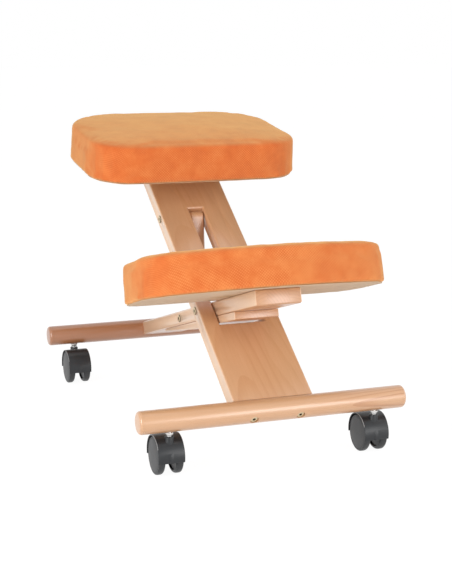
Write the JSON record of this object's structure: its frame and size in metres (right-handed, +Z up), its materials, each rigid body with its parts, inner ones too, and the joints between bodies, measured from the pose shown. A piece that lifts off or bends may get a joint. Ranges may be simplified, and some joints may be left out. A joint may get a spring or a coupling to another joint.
{
  "type": "kneeling chair",
  "caption": "Kneeling chair with a crossed beech frame, an upholstered seat and knee rest, and twin-wheel castors under its front and rear crossbars.",
  "frame": {"origin": "on the floor, under the middle of the chair's overall box", "axes": "+Z up, +Y towards the back, under the seat; +X to the right as seen from the front, where the knee rest is"},
  "size_m": [0.46, 0.6652, 0.5264],
  "materials": {
    "beech": "natural satin lacquer",
    "plywood": "raw",
    "upholstery": "short orange pile",
    "lining": "matt beige felt",
    "zinc_steel": "zinc plate",
    "plain_steel": "bright zinc",
    "black_nylon": "semi-gloss moulded"
  },
  "bodies": {
    "main_frame": {"main_board": "beech", "seat_wedge": "beech", "seat_board": "plywood", "seat_lining": "lining", "seat_cushion": "upholstery", "seat_tee_nut_front_left": "plain_steel", "seat_tee_nut_front_right": "plain_steel", "seat_tee_nut_rear_left": "plain_steel", "seat_tee_nut_rear_right": "plain_steel", "seat_bolt_front_left": "zinc_steel", "seat_bolt_front_right": "zinc_steel", "seat_bolt_rear_left": "zinc_steel", "seat_bolt_rear_right": "zinc_steel", "pivot_bolt": "zinc_steel", "pivot_nut": "zinc_steel", "strut_head_bolt_left": "zinc_steel", "strut_head_bolt_right": "zinc_steel", "front_crossbar": "beech", "front_bar_bolt_left": "zinc_steel", "front_bar_bolt_right": "zinc_steel", "front_barrel_nut_left": "plain_steel", "front_barrel_nut_right": "plain_steel", "front_left_castor_stem": "plain_steel", "front_right_castor_stem": "plain_steel"},
    "lower_frame": {"lower_beam": "beech", "beam_doubler": "beech", "knee_board": "plywood", "knee_lining": "lining", "knee_cushion": "upholstery", "knee_tee_nut_front": "plain_steel", "knee_tee_nut_rear": "plain_steel", "knee_bolt_front": "zinc_steel", "knee_bolt_rear": "zinc_steel", "strut_foot_bolt": "zinc_steel", "strut_foot_nut": "zinc_steel", "rear_crossbar": "beech", "rear_bar_bolt_left": "zinc_steel", "rear_bar_bolt_right": "zinc_steel", "rear_barrel_nut_left": "plain_steel", "rear_barrel_nut_right": "plain_steel", "rear_left_castor_stem": "plain_steel", "rear_right_castor_stem": "plain_steel"},
    "strut": {"strut": "beech", "strut_sleeve": "plain_steel"},
    "front_left_castor": {"front_left_castor_hood": "black_nylon", "front_left_castor_axle": "plain_steel"},
    "front_left_outer_wheel": {"front_left_castor_outer_wheel": "black_nylon"},
    "front_left_inner_wheel": {"front_left_castor_inner_wheel": "black_nylon"},
    "front_right_castor": {"front_right_castor_hood": "black_nylon", "front_right_castor_axle": "plain_steel"},
    "front_right_outer_wheel": {"front_right_castor_outer_wheel": "black_nylon"},
    "front_right_inner_wheel": {"front_right_castor_inner_wheel": "black_nylon"},
    "rear_left_castor": {"rear_left_castor_hood": "black_nylon", "rear_left_castor_axle": "plain_steel"},
    "rear_left_outer_wheel": {"rear_left_castor_outer_wheel": "black_nylon"},
    "rear_left_inner_wheel": {"rear_left_castor_inner_wheel": "black_nylon"},
    "rear_right_castor": {"rear_right_castor_hood": "black_nylon", "rear_right_castor_axle": "plain_steel"},
    "rear_right_outer_wheel": {"rear_right_castor_outer_wheel": "black_nylon"},
    "rear_right_inner_wheel": {"rear_right_castor_inner_wheel": "black_nylon"}
  },
  "joints": [
    {"name": "crossing", "type": "hinge", "parent": "main_frame", "child": "lower_frame", "pos_m": [0, -0.10585, 0.2196], "axis": [-1, 0, 0], "range_deg": [0, 29.6]},
    {"name": "strut_foot", "type": "hinge", "parent": "lower_frame", "child": "strut", "pos_m": [0, 0.0705, 0.16635], "axis": [1, 0, 0], "range_deg": [0, 59.2]},
    {"name": "front_left_swivel", "type": "hinge", "parent": "main_frame", "child": "front_left_castor", "pos_m": [-0.1784, -0.29722, 0.062], "axis": [0, 0, 1], "continuous": true},
    {"name": "front_left_outer_roll", "type": "hinge", "parent": "front_left_castor", "child": "front_left_outer_wheel", "pos_m": [-0.1784, -0.27972, 0.031], "axis": [1, 0, 0], "continuous": true},
    {"name": "front_left_inner_roll", "type": "hinge", "parent": "front_left_castor", "child": "front_left_inner_wheel", "pos_m": [-0.1784, -0.27972, 0.031], "axis": [1, 0, 0], "continuous": true},
    {"name": "front_right_swivel", "type": "hinge", "parent": "main_frame", "child": "front_right_castor", "pos_m": [0.1784, -0.29722, 0.062], "axis": [0, 0, 1], "continuous": true},
    {"name": "front_right_outer_roll", "type": "hinge", "parent": "front_right_castor", "child": "front_right_outer_wheel", "pos_m": [0.1784, -0.27972, 0.031], "axis": [1, 0, 0], "continuous": true},
    {"name": "front_right_inner_roll", "type": "hinge", "parent": "front_right_castor", "child": "front_right_inner_wheel", "pos_m": [0.1784, -0.27972, 0.031], "axis": [1, 0, 0], "continuous": true},
    {"name": "rear_left_swivel", "type": "hinge", "parent": "lower_frame", "child": "rear_left_castor", "pos_m": [-0.1784, 0.31527, 0.062], "axis": [0, 0, 1], "continuous": true},
    {"name": "rear_left_outer_roll", "type": "hinge", "parent": "rear_left_castor", "child": "rear_left_outer_wheel", "pos_m": [-0.1784, 0.29777, 0.031], "axis": [1, 0, 0], "continuous": true},
    {"name": "rear_left_inner_roll", "type": "hinge", "parent": "rear_left_castor", "child": "rear_left_inner_wheel", "pos_m": [-0.1784, 0.29777, 0.031], "axis": [1, 0, 0], "continuous": true},
    {"name": "rear_right_swivel", "type": "hinge", "parent": "lower_frame", "child": "rear_right_castor", "pos_m": [0.1784, 0.31527, 0.062], "axis": [0, 0, 1], "continuous": true},
    {"name": "rear_right_outer_roll", "type": "hinge", "parent": "rear_right_castor", "child": "rear_right_outer_wheel", "pos_m": [0.1784, 0.29777, 0.031], "axis": [1, 0, 0], "continuous": true},
    {"name": "rear_right_inner_roll", "type": "hinge", "parent": "rear_right_castor", "child": "rear_right_inner_wheel", "pos_m": [0.1784, 0.29777, 0.031], "axis": [1, 0, 0], "continuous": true}
  ],
  "couplings": [
    {"joint": "strut_foot", "follows": "crossing", "ratio": 2}
  ]
}
